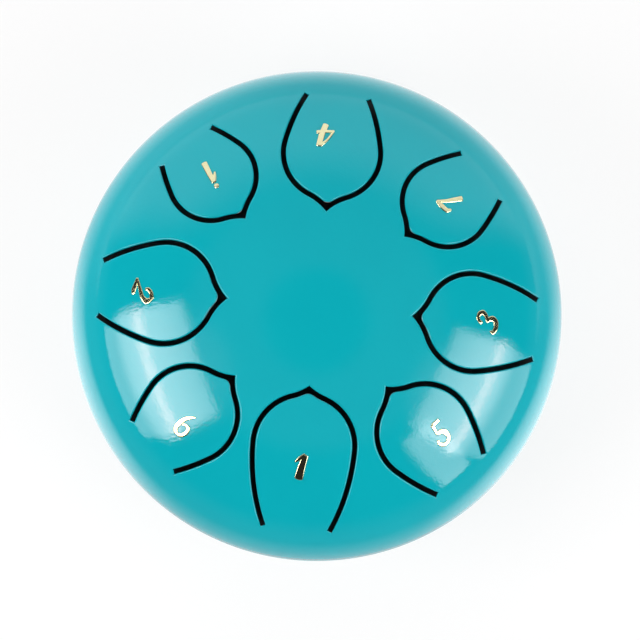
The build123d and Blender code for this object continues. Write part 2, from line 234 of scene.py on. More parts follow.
# Where the drum lies in the picture
FRAME_PIXELS = 640
SHIFT_PIXELS = (3.24, -5.12)
SENSOR_WIDTH = 36                       # millimetres

# Sockets of a Map Range node, in the order of the rows above
RANGE = ("Value", "From Min", "From Max", "To Min", "To Max")

WHITE = (1, 1, 1, 1)
SEAM_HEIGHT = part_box("upper_shell")[0].z
MIDDLE = Vector((0, 0, SEAM_HEIGHT))


def length(name, description, millimetres):
    """A length that a user may change, given in millimetres."""
    return FloatProperty(
        name=name, description=description, default=millimetres * MM, unit="LENGTH", precision=5
    )


def linear(hex_colour):
    """Linear colour of an sRGB hex value."""
    shares = [int(hex_colour[i:i + 2], 16) / 255 for i in (1, 3, 5)]
    return [c / 12.92 if c <= 0.04045 else ((c + 0.055) / 1.055) ** 2.4 for c in shares]


def colour(name, description, hex_colour):
    """A colour that a user may change, given as an sRGB hex value."""
    return FloatVectorProperty(
        name=name, description=description, default=linear(hex_colour), subtype="COLOR",
        size=3, min=0, max=1,
    )


def radiance(name, description, level):
    """A radiance that a user may change."""
    return FloatProperty(name=name, description=description, default=level, min=0)


class ShellSizes(bpy.types.PropertyGroup):
    """Sizes that both pressed shells share."""

    rim_radius: length("Rim radius", "Outside of the drum at the seam", 76)
    dome_height: length("Dome height", "Seam to the top of the crown", 40)
    knuckle_radius: length("Knuckle radius", "Outside turn between crown and rim", 30)
    wall: length("Wall", "Thickness of the steel sheet", 1.5)
    hole_radius: length("Sound hole radius", "Port in the middle of the lower shell", 20)
    weld_depth: length("Weld depth", "Groove of the seam, in from the rim", 0.8)
    weld_half_height: length("Weld half height", "Groove of the seam, each side of it", 0.7)
    weld_crown: length("Weld crown", "How far the bead stands proud of the rim", 0.15)


class TongueSizes(bpy.types.PropertyGroup):
    """Sizes of the longest tongue and of every slot."""

    clear_crown: length("Clear crown", "Drum axis to the point of the slot", 23.1)
    root_inset: length("Root inset", "Rim to the slot's ends", 10.4)
    root_half_width: length("Root half width", "Slot's centre line at its ends", 10)
    head_share: FloatProperty(
        name="Head share", description="Head radius as a share of the ring of slot ends",
        default=0.241, subtype="FACTOR", min=0.1, max=0.35,
    )
    spike: length("Spike", "Point of the slot to the round head", 2.6)
    ogee_radius: length("Ogee radius", "Hollow flank between the point and the head", 16.5)
    side_radius: length("Side radius", "Slow curve of the long sides", 63)
    tip_round: length("Tip round", "The tongue's own rounded tip", 2.5)
    slot_width: length("Slot width", "Width of the cut between tongue and shell", 1.5)
    lip_radius: length("Lip radius", "Rounded edge that the enamel leaves along a slot", 0.55)
    root_cut: length("Root cut", "Slot's ends to the line where a tongue parts from the shell", 1)
    bend: length("Bend", "How much of a tongue, from its root, bends when it moves", 5.5)


class NumeralSizes(bpy.types.PropertyGroup):
    """Sizes of the foil numerals."""

    height: length("Height", "A numeral from foot to top", 7.7)
    foil: length("Foil", "Thickness of the raised foil", 0.3)
    glue: length("Glue", "Thickness of the glue under the foil", 0.02)
    dot_radius: length("Dot radius", "Octave dot", 0.78)
    edge_width: length("Edge width", "Pressed round along a numeral's edge", 0.32)
    edge_drop: length("Edge drop", "How far the round falls", 0.22)


class FootSizes(bpy.types.PropertyGroup):
    """Sizes of a push-in rubber foot."""

    circle_radius: length("Foot circle", "Drum axis to foot axis", 38)
    radius: length("Radius", "Pad on the ground", 7)
    flare: length("Flare", "How much wider the pad is inside the shell's height", 1)
    edge_round: length("Edge round", "Round of the pad's lower edge", 1)
    dimple_radius: length("Dimple radius", "Moulding mark under the pad", 2.4)
    dimple_depth: length("Dimple depth", "Moulding mark under the pad", 0.3)
    hole_radius: length("Hole radius", "Hole in the shell for the shank", 3)
    clearance: length("Clearance", "Shank to its hole and pad to the shell", 0.05)
    barb_radius: length("Barb radius", "Collar that holds the foot inside the shell", 4.2)
    barb_tip_radius: length("Barb tip radius", "Upper end of the barb", 2.4)
    barb_height: length("Barb height", "Barb above the inside of the shell", 5)


class Finishes(bpy.types.PropertyGroup):
    """Colours of the drum's finishes."""

    enamel: colour("Enamel", "Gloss enamel outside", "#09A3AF")
    enamel_deep: colour("Enamel, thick", "Where the enamel lies a little thicker", "#079DAA")
    foil: colour("Foil", "Mirror foil of the numerals", "#FFFACB")
    foil_worn: colour("Foil, dull", "Where the foil is a little dull", "#F8EFBD")
    steel: colour("Steel", "Bare pressed steel inside", "#56585A")
    steel_scale: colour("Mill scale", "Darker patches on the bare steel", "#333436")
    rubber: colour("Rubber", "Moulded feet", "#1B1C1D")
    rubber_bloom: colour("Rubber bloom", "Paler film on the feet", "#2A2B2C")


class StageSettings(bpy.types.PropertyGroup):
    """Camera and lights."""

    distance: FloatProperty(
        name="Camera distance", description="Camera to the middle of the seam", default=0.7,
        unit="LENGTH",
    )
    azimuth: FloatProperty(
        name="Camera azimuth", description="Turn of the camera round the drum",
        default=radians(5.39), subtype="ANGLE",
    )
    elevation: FloatProperty(
        name="Camera elevation", description="Camera above the horizon",
        default=radians(86.77), subtype="ANGLE",
    )
    lens: FloatProperty(
        name="Lens", description="Focal length on a 36 mm sensor", default=126.64, unit="CAMERA",
    )
    softbox: radiance("Softbox", "Radiance of the softboxes, where white paper is about 1", 2.7)
    bloom: radiance("Bloom", "Extra radiance of the broad bloom round each softbox's tube", 3.8)
    tube: radiance("Tube", "Extra radiance of the tube that shows through each softbox", 9.0)
    tube_tint: colour("Tube tint", "Warm light of a softbox's tube", "#FFBCAD")
    halo: radiance("Halo", "Radiance of the ceiling just over a softbox", 0.7)
    ceiling: radiance("Ceiling", "Radiance of the ceiling round the camera", 0.18)
    back_wall: radiance("Back wall", "Radiance of the pale wall behind the drum", 0.86)
    horizon: radiance("Horizon", "Radiance of the studio low down all round", 0.15)
    fill: radiance("Fill", "Radiance of the soft fill from the back, which has no reflection", 1.3)
    room: radiance("Room", "Radiance of the dim studio", 0.02)


class DrumSettings(bpy.types.PropertyGroup):
    """Everything that can be changed."""

    shell: PointerProperty(type=ShellSizes)
    tongue: PointerProperty(type=TongueSizes)
    numeral: PointerProperty(type=NumeralSizes)
    foot: PointerProperty(type=FootSizes)
    finish: PointerProperty(type=Finishes)
    stage: PointerProperty(type=StageSettings)


class Pen:
    """Draws an outline in edit mode: a straight run extrudes its last point, an arc spins it."""

    def __init__(self, name, place):
        bpy.ops.object.select_all(action="DESELECT")
        bpy.ops.mesh.primitive_plane_add(size=MM)
        self.piece = label(bpy.context.object, name)
        bpy.ops.object.mode_set(mode="EDIT")
        bpy.ops.mesh.select_mode(type="VERT")
        bpy.ops.mesh.select_all(action="SELECT")
        bpy.ops.mesh.merge(type="CENTER")
        bpy.ops.transform.translate(value=place)
        self.place = Vector(place)

    def line(self, place):
        """Straight run to a place."""
        place = Vector(place)
        bpy.ops.mesh.extrude_region_move(TRANSFORM_OT_translate={"value": place - self.place})
        self.place = place

    def arc(self, centre, axis, sweep, steps):
        """Arc about a centre. Spin turns against the right-hand rule, hence the sign."""
        bpy.ops.mesh.spin(steps=steps, angle=-sweep, center=centre, axis=axis)
        self.place = centre + Matrix.Rotation(sweep, 3, axis) @ (self.place - centre)

    def lathe(self, steps=ROUND_STEPS):
        """Spins the outline about the vertical axis and closes it."""
        bpy.ops.mesh.select_all(action="SELECT")
        bpy.ops.mesh.spin(steps=steps, angle=2 * pi, center=(0, 0, 0), axis=UPWARDS)
        return self.close()

    def close(self):
        """Merges what meets, turns the faces outwards and leaves edit mode."""
        bpy.ops.mesh.select_all(action="SELECT")
        bpy.ops.mesh.remove_doubles(threshold=MERGE_DISTANCE)
        bpy.ops.mesh.normals_make_consistent(inside=False)
        bpy.ops.object.mode_set(mode="OBJECT")
        return self.piece


def label(piece, name):
    """Names a piece and its mesh."""
    piece.name = name
    piece.data.name = name
    return piece


def pick(*pieces):
    """Selects these objects alone, the first one active."""
    bpy.ops.object.select_all(action="DESELECT")
    for piece in pieces:
        piece.select_set(True)
    bpy.context.view_layer.objects.active = pieces[0]


def select_where(piece, kind, test):
    """Enters edit mode with the faces or edges selected that pass a test."""
    pick(piece)
    bpy.ops.object.mode_set(mode="EDIT")
    bpy.ops.mesh.select_mode(type=kind)
    bpy.ops.mesh.select_all(action="DESELECT")
    bpy.ops.object.mode_set(mode="OBJECT")
    for element in piece.data.polygons if kind == "FACE" else piece.data.edges:
        element.select = test(element)
    bpy.ops.object.mode_set(mode="EDIT")


def edit(piece):
    """Enters edit mode with all of a piece selected."""
    pick(piece)
    bpy.ops.object.mode_set(mode="EDIT")
    bpy.ops.mesh.select_all(action="SELECT")


def face_outwards(piece):
    """Turns the faces of a closed piece outwards."""
    edit(piece)
    bpy.ops.mesh.normals_make_consistent(inside=False)
    bpy.ops.object.mode_set(mode="OBJECT")


def shade(piece, edge_angle):
    """Shades a piece smooth, apart from the edges that turn more than an angle."""
    pick(piece)
    bpy.ops.object.shade_smooth_by_angle(angle=edge_angle)


def settle(piece):
    """Keeps a piece's place and turn in its mesh, with its object at the origin."""
    pick(piece)
    bpy.ops.object.transform_apply(location=True, rotation=True, scale=True)


def turned(piece, angle):
    """Turns a piece about the drum's axis."""
    piece.rotation_euler.z = angle
    settle(piece)


def finish_with(piece, kind, **settings):
    """Adds a modifier, sets it and applies it."""
    pick(piece)
    modifier = piece.modifiers.new(kind.title(), kind)
    for name, value in settings.items():
        setattr(modifier, name, value)
    bpy.ops.object.modifier_apply(modifier=modifier.name)


def discard(tool):
    """Removes a tool that has done its work."""
    mesh = tool.data
    bpy.data.objects.remove(tool)
    bpy.data.meshes.remove(mesh)


def combine(piece, operation, tool):
    """Cuts a piece with a tool or joins the two, and removes the tool."""
    finish_with(piece, "BOOLEAN", operation=operation, solver="EXACT", object=tool)
    discard(tool)


def copy_of(piece, name):
    """A copy with a mesh of its own, riding on nothing yet."""
    copy = piece.copy()
    copy.data = piece.data.copy()
    copy.parent = None
    bpy.context.scene.collection.objects.link(copy)
    return label(copy, name)


def direction(azimuth, elevation):
    """Unit vector towards a place round the drum."""
    flat = cos(elevation)
    return Vector((cos(azimuth) * flat, sin(azimuth) * flat, sin(elevation)))


class Dome:
    """Form of the upper shell: a crown arc, then a knuckle arc that meets it smoothly."""

    def __init__(self, shell):
        rim, height, knuckle = shell.rim_radius, shell.dome_height, shell.knuckle_radius
        self.shell = shell
        self.crown = (height**2 - knuckle**2 + (rim - knuckle) ** 2) / (2 * (height - knuckle))
        self.crown_centre = Vector((0, 0, SEAM_HEIGHT + height - self.crown))
        self.knuckle_centre = Vector((rim - knuckle, 0, SEAM_HEIGHT))
        self.tangent = atan2(self.crown - height, rim - knuckle)

    def on_crown(self, inset, angle):
        """Point of the crown's section, at an angle from the horizontal."""
        return self.crown_centre + Vector((cos(angle), 0, sin(angle))) * (self.crown - inset)

    def depth(self, point):
        """How far a point lies under the outside of the dome, or of its mirror image below the seam."""
        radius = hypot(point.x, point.y)
        rise = abs(point.z - SEAM_HEIGHT)
        height = SEAM_HEIGHT + rise - self.crown_centre.z
        if atan2(height, radius) > self.tangent:
            return self.crown - hypot(radius, height)
        return self.shell.knuckle_radius - hypot(radius - self.knuckle_centre.x, rise)

    def height(self, point):
        """Height of the dome's outside above a point."""
        radius = hypot(point.x, point.y)
        if radius < self.crown * cos(self.tangent):
            return self.crown_centre.z + sqrt(self.crown**2 - radius**2)
        return SEAM_HEIGHT + sqrt(self.shell.knuckle_radius**2 - (radius - self.knuckle_centre.x) ** 2)

    def draw_wall(self, name, first_angle):
        """Section of the wall: outside from first_angle down to the weld's groove, and back inside."""
        shell = self.shell
        groove = asin(shell.weld_half_height / shell.knuckle_radius)
        pen = Pen(name, self.on_crown(0, first_angle))
        pen.arc(self.crown_centre, SIDEWAYS, first_angle - self.tangent, CROWN_STEPS)
        pen.arc(self.knuckle_centre, SIDEWAYS, self.tangent - groove, KNUCKLE_STEPS)
        pen.line((shell.rim_radius - shell.weld_depth, 0, SEAM_HEIGHT))
        pen.line((shell.rim_radius - shell.wall, 0, SEAM_HEIGHT))
        pen.arc(self.knuckle_centre, SIDEWAYS, -self.tangent, INSIDE_KNUCKLE_STEPS)
        pen.arc(self.crown_centre, SIDEWAYS, self.tangent - first_angle, INSIDE_CROWN_STEPS)
        return pen

    def press(self, name):
        """The whole dome before its slots are cut, turned off the tongues' axes."""
        blank = self.draw_wall(name, pi / 2).lathe()
        turned(blank, BLANK_TURN_SHARE * 2 * pi / ROUND_STEPS)
        shade(blank, STEEL_EDGE_ANGLE)
        return blank

    def core(self, name, offset):
        """Everything under the dome's outside moved out by offset, down to the seam."""
        pen = Pen(name, self.on_crown(-offset, pi / 2))
        pen.arc(self.crown_centre, SIDEWAYS, pi / 2 - self.tangent, CROWN_STEPS)
        pen.arc(self.knuckle_centre, SIDEWAYS, self.tangent, KNUCKLE_STEPS)
        pen.line((0, 0, SEAM_HEIGHT))
        return pen.lathe()


def mirrored_below(piece):
    """Turns an upper form into a lower one, about the seam."""
    edit(piece)
    bpy.ops.transform.resize(value=(1, 1, -1), center_override=(0, 0, SEAM_HEIGHT))
    bpy.ops.mesh.normals_make_consistent(inside=False)
    bpy.ops.object.mode_set(mode="OBJECT")


def circles_meet(centre_a, radius_a, centre_b, radius_b, side):
    """Where two circles meet, on the left (+1) or right (-1) of the line from a to b."""
    span = centre_b - centre_a
    along = (radius_a**2 - radius_b**2 + span.length_squared) / (2 * span.length)
    across = sqrt(radius_a**2 - along**2)
    heading = span.normalized()
    return centre_a + heading * along + Vector((-heading.y, heading.x)) * (side * across)


def towards(centre, radius, point):
    """Point of a circle in the direction of another point."""
    return centre + (point - centre).normalized() * radius


def turn_between(before, after):
    """Signed angle from one plan direction to another."""
    return atan2(before.x * after.y - before.y * after.x, before.dot(after))


class TonguePlan:
    """Plan of one tongue and its slot, along +X from the drum's axis, built of tangent arcs."""

    def __init__(self, name, settings):
        turn, length_share, head, spike, inset, width = TONGUE_SHARES[name]
        shell, tongue = settings.shell, settings.tongue
        ring = shell.rim_radius - tongue.root_inset
        self.name = name
        self.tongue = tongue
        self.angle = 2 * pi * turn
        self.cos, self.sin = cos(self.angle), sin(self.angle)
        self.head_radius = ring * tongue.head_share * head
        self.root = shell.rim_radius - tongue.root_inset * inset
        self.tip = self.root - (ring - tongue.clear_crown) * length_share
        self.slot_end = Vector((self.root, tongue.root_half_width * width))
        self.head = Vector((self.tip + tongue.spike * spike + self.head_radius, 0))
        self.ogee = circles_meet(
            Vector((self.tip, 0)), tongue.ogee_radius, self.head, self.head_radius + tongue.ogee_radius, 1
        )
        self.side = circles_meet(
            self.head, tongue.side_radius - self.head_radius,
            self.slot_end, tongue.side_radius - tongue.slot_width / 2, -1,
        )
        self.cut = self.root - tongue.root_cut

    def flank(self, inset, tip_round=0.0, extra=0.0):
        """One side from the tip to the slot's end, moved in from the slot's outer edge: its first point,
        then each arc's centre and end."""
        ogee_radius = self.tongue.ogee_radius + inset
        reach = sqrt((ogee_radius + tip_round) ** 2 - self.ogee.y**2)
        nose = Vector((self.ogee.x + reach, 0))
        first = towards(self.ogee, ogee_radius, nose)
        shoulder = towards(self.head, self.head_radius - inset, self.ogee)
        cheek = self.head + (self.head - self.side).normalized() * (self.head_radius - inset)
        end = towards(self.side, self.tongue.side_radius - inset, self.slot_end)
        end = self.side + Matrix.Rotation(-extra / self.tongue.side_radius, 2) @ (end - self.side)
        arcs = [(self.ogee, shoulder), (self.head, cheek), (self.side, end)]
        if tip_round:
            arcs.insert(0, (nose, first))
            first = nose - Vector((tip_round, 0))
        return first, arcs

    def half_slot(self, grow):
        """Half of the slot's outline, grown by an even amount, from the point of the slot to the
        tongue's tip."""
        outer, runs = self.flank(-grow, 0, grow)
        inner, back = self.flank(self.tongue.slot_width + grow, self.tongue.tip_round - grow, grow)
        ends = [inner, *(end for _, end in back)]
        returning = [(centre, ends[i]) for i, (centre, _) in enumerate(back)][::-1]
        return outer, [*runs, (None, ends[-1]), *returning]

    def draw(self, grow, height):
        """The slot's outline, grown by an even amount, as a loop of edges at a height. Every loop has
        as many points as the plain one."""
        def lifted(point):
            return Vector((point.x, point.y, height))

        first, runs = self.half_slot(grow)
        plain_place, plain = self.half_slot(0)
        pen = Pen("slot_outline", lifted(first))
        for (centre, end), (_, plain_end) in zip(runs, plain):
            if centre is None:
                pen.line(lifted(end))
            else:
                span = abs(turn_between(plain_place - centre, plain_end - centre))
                steps = max(3, round((plain_end - centre).length * span / OUTLINE_PITCH))
                start = Vector((pen.place.x, pen.place.y))
                pen.arc(lifted(centre), UPWARDS, turn_between(start - centre, end - centre), steps)
            plain_place = plain_end
        bpy.ops.mesh.select_all(action="SELECT")
        bpy.ops.mesh.duplicate()
        bpy.ops.transform.resize(value=(1, -1, 1), center_override=(0, 0, 0))
        bpy.ops.mesh.select_all(action="SELECT")
        bpy.ops.mesh.remove_doubles(threshold=MERGE_DISTANCE)
        bpy.ops.object.mode_set(mode="OBJECT")
        turned(pen.piece, self.angle)
        return pen.piece

    def boundary(self):
        """Points round the tongue along the middle of its slot."""
        tongue = self.tongue
        first, arcs = self.flank(tongue.slot_width / 2, tongue.slot_width / 2)
        points = [first]
        for centre, end in arcs:
            before = points[-1] - centre
            sweep = turn_between(before, end - centre)
            points += [
                centre + Matrix.Rotation(sweep * i / BOUNDARY_STEPS, 2) @ before
                for i in range(1, BOUNDARY_STEPS + 1)
            ]
        return points + [Vector((p.x, -p.y)) for p in reversed(points[1:])]

    def own(self, point):
        """A point of the drum in this plan's own directions."""
        return Vector((
            point.x * self.cos + point.y * self.sin, point.y * self.cos - point.x * self.sin,
        ))

    def on_drum(self, along, height):
        """A point of this plan's axis, on the drum."""
        return Vector((along * self.cos, along * self.sin, height))


def inside(point, boundary):
    """Whether a point lies inside a closed row of points."""
    found = False
    for a, b in zip(boundary, boundary[1:] + boundary[:1]):
        if (a.y > point.y) != (b.y > point.y):
            if point.x < a.x + (b.x - a.x) * (point.y - a.y) / (b.y - a.y):
                found = not found
    return found


def smooth_curve(points):
    """Points along a smooth curve through a few points."""
    run = [2 * points[0] - points[1], *points, 2 * points[-1] - points[-2]]
    curve = []
    for a, b, c, d in zip(run, run[1:], run[2:], run[3:]):
        for i in range(STROKE_STEPS):
            t = i / STROKE_STEPS
            curve.append(b + ((c - a) * t + (2 * a - 5 * b + 4 * c - d) * t**2
                              + (3 * b - a - 3 * c + d) * t**3) / 2)
    return [*curve, points[-1]]


def numeral_place(plan):
    """Where a numeral's drawing lies on its tongue in plan, with its top towards the drum's axis."""
    along, aside, turn = NUMERAL_PLACE_SHARES[plan.name]
    spot = Vector((plan.tip + (plan.root - plan.tip) * along, plan.head_radius * aside, 0))
    return (
        Matrix.Rotation(plan.angle, 4, "Z") @ Matrix.Translation(spot)
        @ Matrix.Rotation(pi / 2 + 2 * pi * turn, 4, "Z")
    )


def loft(loops):
    """Joins loops of as many points each into one closed solid: a band from each to the next and a face
    at both ends."""
    count = len(loops[0].data.vertices)
    solid = loops[0]
    pick(*loops)
    bpy.ops.object.join()
    for i in range(len(loops) - 1):
        select_where(solid, "EDGE", lambda edge: all(v // count in (i, i + 1) for v in edge.vertices))
        bpy.ops.mesh.bridge_edge_loops()
        bpy.ops.object.mode_set(mode="OBJECT")
    for i in (0, len(loops) - 1):
        select_where(solid, "EDGE", lambda edge: all(v // count == i for v in edge.vertices))
        bpy.ops.mesh.edge_face_add()
        bpy.ops.object.mode_set(mode="OBJECT")
    face_outwards(solid)
    return solid


def slot_tool(plan, dome, blank):
    """Cutter for one slot: upright walls, and a lip at the dome's skin that leaves a rounded edge."""
    radius = plan.tongue.lip_radius
    steps = [(opening * radius, rise * radius) for opening, rise in LIP_SHARES]
    steps.append((steps[-1][0] + LIP_FLARE[0], steps[-1][1] + LIP_FLARE[1]))
    below, above = (SEAM_HEIGHT + share * dome.shell.dome_height for share in TOOL_REACH_SHARES)
    loops = [plan.draw(steps[0][0], below)]
    for opening, rise in steps:
        loop = plan.draw(opening, above)
        finish_with(
            loop, "SHRINKWRAP", target=blank, wrap_method="PROJECT", use_project_z=True,
            use_negative_direction=True, use_positive_direction=False,
        )
        loop.location.z = rise
        settle(loop)
        loops.append(loop)
    loops.append(plan.draw(steps[-1][0], above))
    return loft(loops)


def node(tree, kind, inputs=(), **settings):
    """Adds a node, with its settings, its values and its links."""
    new = tree.nodes.new(kind)
    for name, value in settings.items():
        setattr(new, name, value)
    for name, value in dict(inputs).items():
        if isinstance(value, bpy.types.NodeSocket):
            tree.links.new(value, new.inputs[name])
        else:
            new.inputs[name].default_value = value
    return new


def per_metre(millimetres):
    """Noise scale for features of a real size."""
    return 1 / (millimetres * MM)


def opaque(rgb):
    """A colour with full alpha."""
    return (*rgb, 1)


def fresh_material(name):
    """A material, its node tree and the piece's own coordinates, which are all that the tree holds."""
    material = bpy.data.materials.new(name)
    material.use_nodes = True
    tree = material.node_tree
    tree.nodes.clear()
    place = node(tree, "ShaderNodeTexCoord").outputs["Object"]
    return material, tree, place


def surface_finish(name, tints, clouds, wear, gloss, relief, **sockets):
    """A finish whose tint drifts in clouds and whose gloss changes with wear, over one or more reliefs.
    Clouds, wear and each relief give a noise's size in millimetres, its detail and its roughness, and a
    relief also its depth in millimetres. Gloss gives a range of wear and the roughness at its ends."""
    if name in bpy.data.materials:
        return bpy.data.materials[name]
    material, tree, place = fresh_material(name)
    patterns = {}
    for row in dict.fromkeys((clouds, wear, *relief)):
        size, detail, roughness, *_ = row
        patterns[row] = node(tree, "ShaderNodeTexNoise", {
            "Vector": place, "Scale": per_metre(size), "Detail": detail, "Roughness": roughness,
        }).outputs["Fac"]
    tint = node(tree, "ShaderNodeMix", {
        "Factor": patterns[clouds], "A": opaque(tints[0]), "B": opaque(tints[1]),
    }, data_type="RGBA")
    dull = node(tree, "ShaderNodeMapRange", zip(RANGE, (patterns[wear], *gloss)))
    facing = {}
    for row in relief:
        bump = node(tree, "ShaderNodeBump", {"Height": patterns[row], "Distance": row[-1] * MM, **facing})
        facing = {"Normal": bump.outputs["Normal"]}
    shader = node(tree, "ShaderNodeBsdfPrincipled", {
        "Base Color": tint.outputs["Result"], "Roughness": dull.outputs["Result"], **facing, **sockets,
    })
    node(tree, "ShaderNodeOutputMaterial", {"Surface": shader.outputs["BSDF"]})
    return material


def gloss_enamel(finish):
    """Sprayed and baked gloss enamel on steel. The eye gets a wet, even colour, sharp reflections whose
    edges break up on the fine orange peel of the spray, and the slow waves of the pressed sheet."""
    return surface_finish(
        "gloss_enamel", (finish.enamel, finish.enamel_deep), clouds=(22, 2.0, 0.5), wear=(9, 3.0, 0.5),
        gloss=(0.35, 0.75, 0.03, 0.06), relief=((14, 1.0, 0.5, 0.03), (0.9, 2.0, 0.6, 0.022)), IOR=1.5,
    )


def mirror_foil(finish):
    """Hot-pressed gold foil. The eye gets a yellow mirror with a faint crinkle and a few dull places."""
    worn = (1.6, 4.0, 0.5)
    return surface_finish(
        "mirror_gold_foil", (finish.foil, finish.foil_worn), clouds=worn, wear=worn,
        gloss=(0.3, 0.7, 0.06, 0.12), relief=((0.9, 2.0, 0.5, 0.004),), Metallic=1.0,
    )


def bare_steel(finish):
    """Pressed mild steel left bare inside. The eye gets a dull grey metal with darker mill scale. The
    real grain is too fine to show, so it is drawn at 0.6 mm."""
    scale = (7, 5.0, 0.5)
    return surface_finish(
        "bare_pressed_steel", (finish.steel, finish.steel_scale), clouds=scale, wear=scale,
        gloss=(0.3, 0.7, 0.38, 0.6), relief=((0.6, 2.0, 0.5, 0.02),), Metallic=1.0,
    )


def moulded_rubber(finish):
    """Moulded black rubber. The eye gets a soft matt black with a fine grain and a paler bloom. The real
    grain is too fine to show, so it is drawn at 0.5 mm."""
    bloom = (4, 4.0, 0.5)
    return surface_finish(
        "moulded_black_rubber", (finish.rubber, finish.rubber_bloom), clouds=bloom, wear=bloom,
        gloss=(0.3, 0.7, 0.5, 0.68), relief=((0.5, 2.0, 0.5, 0.03),), IOR=1.52,
    )


def coat(piece, outside, within=None, test=None):
    """Gives a piece its finish, and another one to the faces that pass a test."""
    piece.data.materials.clear()
    piece.data.materials.append(outside)
    if within is None:
        return
    piece.data.materials.append(within)
    select_where(piece, "FACE", test)
    piece.active_material_index = 1
    bpy.ops.object.material_slot_assign()
    bpy.ops.object.mode_set(mode="OBJECT")


def enamel(piece, dome, finish):
    """Enamels a pressed piece, with its inside left bare."""
    inner = dome.shell.wall - 2 * SKIN_DEPTH
    points = piece.data.vertices
    coat(piece, gloss_enamel(finish), bare_steel(finish),
         lambda face: all(dome.depth(points[v].co) > inner for v in face.vertices))


def enamel_skin(piece, dome, blank, finish):
    """Shades the outside as one unbroken dome right up to every slot and root, and enamels it."""
    shade(piece, STEEL_EDGE_ANGLE)
    skin = piece.vertex_groups.new(name="skin")
    skin.add([v.index for v in piece.data.vertices if dome.depth(v.co) < SKIN_DEPTH], 1, "REPLACE")
    finish_with(
        piece, "DATA_TRANSFER", object=blank, use_loop_data=True, data_types_loops={"CUSTOM_NORMAL"},
        loop_mapping="POLYINTERP_NEAREST", vertex_group="skin",
    )
    piece.vertex_groups.clear()
    enamel(piece, dome, finish)


def hand_over(piece, body, slot, *nodes):
    """Makes a finished piece ride on a body and hides the parts that it stands for. Its slot argument, the
    finish it was to have, is not used.
    """
    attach(piece, body)
    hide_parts(*nodes)


class DRUM_OT_upper_shell(bpy.types.Operator):
    """Press the dome of the upper shell and cut the slots, with the tongues still joined at their roots"""

    bl_idname = "drum.upper_shell"
    bl_label = "Upper shell"

    def execute(self, context):
        settings = context.scene.tongue_drum
        dome = Dome(settings.shell)
        top = dome.press("enamelled_top")
        plans = [TonguePlan(name, settings) for name in TONGUE_SHARES]
        tools = [slot_tool(plan, dome, top) for plan in plans]
        pick(*tools)
        bpy.ops.object.join()
        combine(top, "DIFFERENCE", tools[0])
        return {"FINISHED"}


class DRUM_OT_tongues(bpy.types.Operator):
    """Part the eight tongues from the upper shell at their roots and enamel both"""

    bl_idname = "drum.tongues"
    bl_label = "Tongues"

    def execute(self, context):
        settings = context.scene.tongue_drum
        dome = Dome(settings.shell)
        blank = dome.press("dome_blank")
        top = bpy.data.objects["enamelled_top"]
        height = dome.crown_centre.z + dome.crown
        plans = [TonguePlan(name, settings) for name in TONGUE_SHARES]
        pieces = [self.part(top, plan) for plan in plans]
        for plan, piece in zip(plans, pieces):
            self.cap(piece)
            enamel_skin(piece, dome, blank, settings.finish)
            plan.on_drum(plan.cut, height)
            plan.on_drum(plan.cut - plan.tongue.bend, height)
            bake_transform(piece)
            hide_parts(f"tongue_{plan.name}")
        self.cap(top)
        enamel_skin(top, dome, blank, settings.finish)
        hand_over(top, "drum_shell", "turquoise_enamel", "upper_shell")
        discard(blank)
        return {"FINISHED"}

    def part(self, top, plan):
        """Cuts across one tongue's root and takes the tongue off."""
        boundary = plan.boundary()
        reach = ROOT_REACH * plan.tongue.root_cut

        def near_root(face):
            spot = plan.own(face.center)
            return abs(spot.x - plan.cut) < reach and abs(spot.y) < plan.slot_end.y

        def on_tongue(face):
            spot = plan.own(face.center)
            in_range = plan.tip < spot.x < plan.cut and abs(spot.y) < plan.head_radius
            return in_range and inside(spot, boundary)

        select_where(top, "FACE", near_root)
        bpy.ops.mesh.bisect(plane_co=plan.on_drum(plan.cut, 0), plane_no=plan.on_drum(1, 0))
        bpy.ops.object.mode_set(mode="OBJECT")
        before = set(bpy.data.objects)
        select_where(top, "FACE", on_tongue)
        bpy.ops.mesh.separate(type="SELECTED")
        bpy.ops.object.mode_set(mode="OBJECT")
        piece, = set(bpy.data.objects) - before
        return label(piece, f"enamelled_tongue_{plan.name}")

    def cap(self, piece):
        """Closes the cut at a root."""
        pick(piece)
        bpy.ops.object.mode_set(mode="EDIT")
        bpy.ops.mesh.select_mode(type="EDGE")
        bpy.ops.mesh.select_all(action="DESELECT")
        bpy.ops.mesh.select_non_manifold(extend=False)
        bpy.ops.mesh.fill()
        bpy.ops.object.mode_set(mode="OBJECT")
        face_outwards(piece)


class DRUM_OT_lower_shell(bpy.types.Operator):
    """Press the lower shell, with its sound hole and the holes for the feet"""

    bl_idname = "drum.lower_shell"
    bl_label = "Lower shell"

    def execute(self, context):
        settings = context.scene.tongue_drum
        shell, foot = settings.shell, settings.foot
        dome = Dome(shell)
        edge = acos((shell.hole_radius + shell.wall / 2) / (dome.crown - shell.wall / 2))
        pen = dome.draw_wall("enamelled_base", edge)
        pen.arc(dome.on_crown(shell.wall / 2, edge), SIDEWAYS, pi, HEM_STEPS)
        base = pen.lathe()
        mirrored_below(base)
        for turn in foot_turns():
            bpy.ops.object.select_all(action="DESELECT")
            bpy.ops.mesh.primitive_cylinder_add(
                vertices=DRILL_STEPS, radius=foot.hole_radius, depth=shell.dome_height,
                location=direction(turn, 0) * foot.circle_radius,
            )
            combine(base, "DIFFERENCE", bpy.context.object)
        shade(base, STEEL_EDGE_ANGLE)
        enamel(base, dome, settings.finish)
        hand_over(base, "drum_shell", "turquoise_enamel", "lower_shell")
        return {"FINISHED"}


